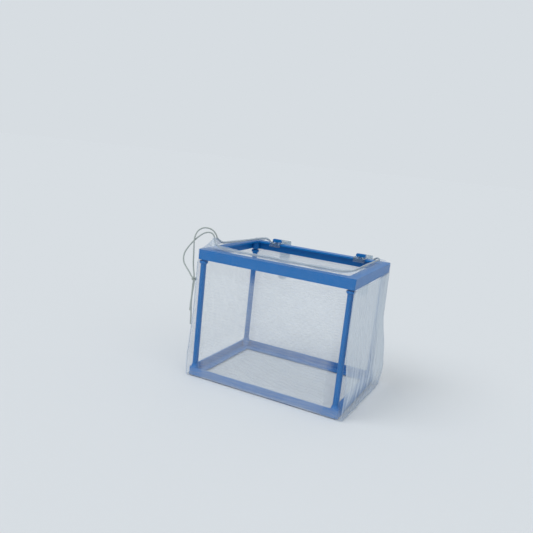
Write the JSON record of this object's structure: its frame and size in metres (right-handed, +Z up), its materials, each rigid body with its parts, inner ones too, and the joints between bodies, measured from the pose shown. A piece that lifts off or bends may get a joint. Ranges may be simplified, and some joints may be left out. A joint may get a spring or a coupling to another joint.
{
  "type": "fish breeding box",
  "caption": "Rectangular net bag on a frame of plastic rims and posts, with a drawstring mouth and sliding clear hangers that hook over an aquarium's glass.",
  "frame": {"origin": "middle of the bag's underside, where the box stands when it is off the tank", "axes": "+X to the right along the length, +Y to the back where the hangers hook over the glass, +Z up out of the mouth"},
  "size_m": [0.1971, 0.1486, 0.1574],
  "materials": {
    "rim_plastic": "moulded, slightly glossy",
    "clear_plastic": "clear, smooth",
    "net": "fine white polyester mesh",
    "net_hem": "mesh folded and sewn",
    "cord": "thin twisted polyester cord"
  },
  "bodies": {
    "box": {"top_rim": "rim_plastic", "bottom_rim": "rim_plastic", "post_front_left": "rim_plastic", "post_front_right": "rim_plastic", "post_back_left": "rim_plastic", "post_back_right": "rim_plastic", "net_main_panel": "net", "net_end_left": "net", "net_end_right": "net", "net_cuff_front": "net", "net_cuff_left": "net", "drawstring_casing": "net_hem", "drawstring_held": "cord", "strand_front": "cord", "strand_back": "cord", "cord_knot": "cord", "cord_end_long": "cord", "cord_end_short": "cord"},
    "hanger_left": {"hanger_left": "clear_plastic"},
    "hanger_right": {"hanger_right": "clear_plastic"}
  },
  "joints": [
    {"name": "hanger_left_slide", "type": "slide", "parent": "box", "child": "hanger_left", "axis": [0, 1, 0], "range_m": [-0.014, 0]},
    {"name": "hanger_right_slide", "type": "slide", "parent": "box", "child": "hanger_right", "axis": [0, 1, 0], "range_m": [-0.014, 0]}
  ]
}
